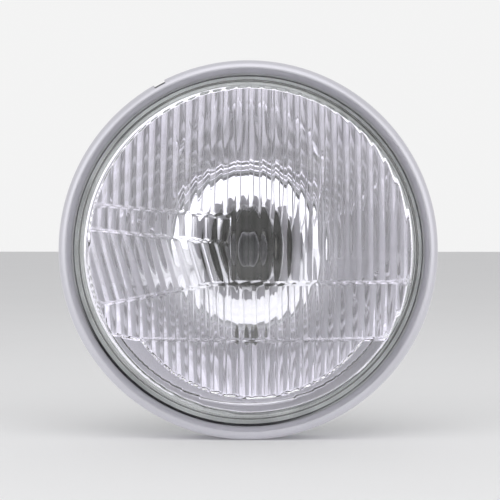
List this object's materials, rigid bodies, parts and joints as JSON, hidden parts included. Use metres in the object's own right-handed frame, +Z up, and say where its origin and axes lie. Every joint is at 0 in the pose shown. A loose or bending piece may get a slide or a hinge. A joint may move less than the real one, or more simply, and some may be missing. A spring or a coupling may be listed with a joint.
{
  "type": "motorcycle headlight",
  "caption": "Round motorcycle headlight: fluted domed glass lens sealed to a deep steel reflector in a satin-plated rim, with dual-filament bulb, rubber boot and pilot lamp.",
  "frame": {"origin": "on the lamp's axis, in the plane of the rim's rear edge, where the rim meets the lamp shell", "axes": "+Z up, +Y backwards along the lamp's axis into the shell, so the lens faces -Y; +X is to the right seen from the front"},
  "size_m": [0.178, 0.1198, 0.178],
  "materials": {
    "satin_plate": "satin",
    "lens_glass": "clear, moulded flutes",
    "sealant": "matte",
    "black_rubber": "matte",
    "coated_steel": "mirror inside, satin outside",
    "spring_steel": "satin",
    "zinc_plate": "satin",
    "blackened_steel": "satin, blackened",
    "bulb_glass": "clear",
    "base_plastic": "matte",
    "tinned_brass": "bright",
    "tungsten": "satin",
    "molybdenum": "satin",
    "stem_ceramic": "matte"
  },
  "bodies": {
    "root": {"rim": "satin_plate", "lens": "lens_glass", "lens_seal": "sealant", "rim_gasket": "black_rubber", "reflector": "coated_steel", "spring_clips": "spring_steel", "side_brackets": "zinc_plate", "captive_nuts": "zinc_plate", "bulb_seat": "zinc_plate", "bulb_spring": "spring_steel", "spring_screws": "zinc_plate", "bulb_glass": "bulb_glass", "bulb_flange": "blackened_steel", "bulb_shell": "blackened_steel", "bulb_base": "base_plastic", "terminals": "tinned_brass", "main_filament": "tungsten", "dipped_filament": "tungsten", "dipped_shield": "molybdenum", "filament_supports": "molybdenum", "bulb_stem": "stem_ceramic", "boot": "black_rubber", "pilot_grommet": "black_rubber", "pilot_holder": "zinc_plate", "pilot_bulb": "bulb_glass", "pilot_cap": "tinned_brass", "pilot_contacts": "tinned_brass"}
  },
  "joints": []
}
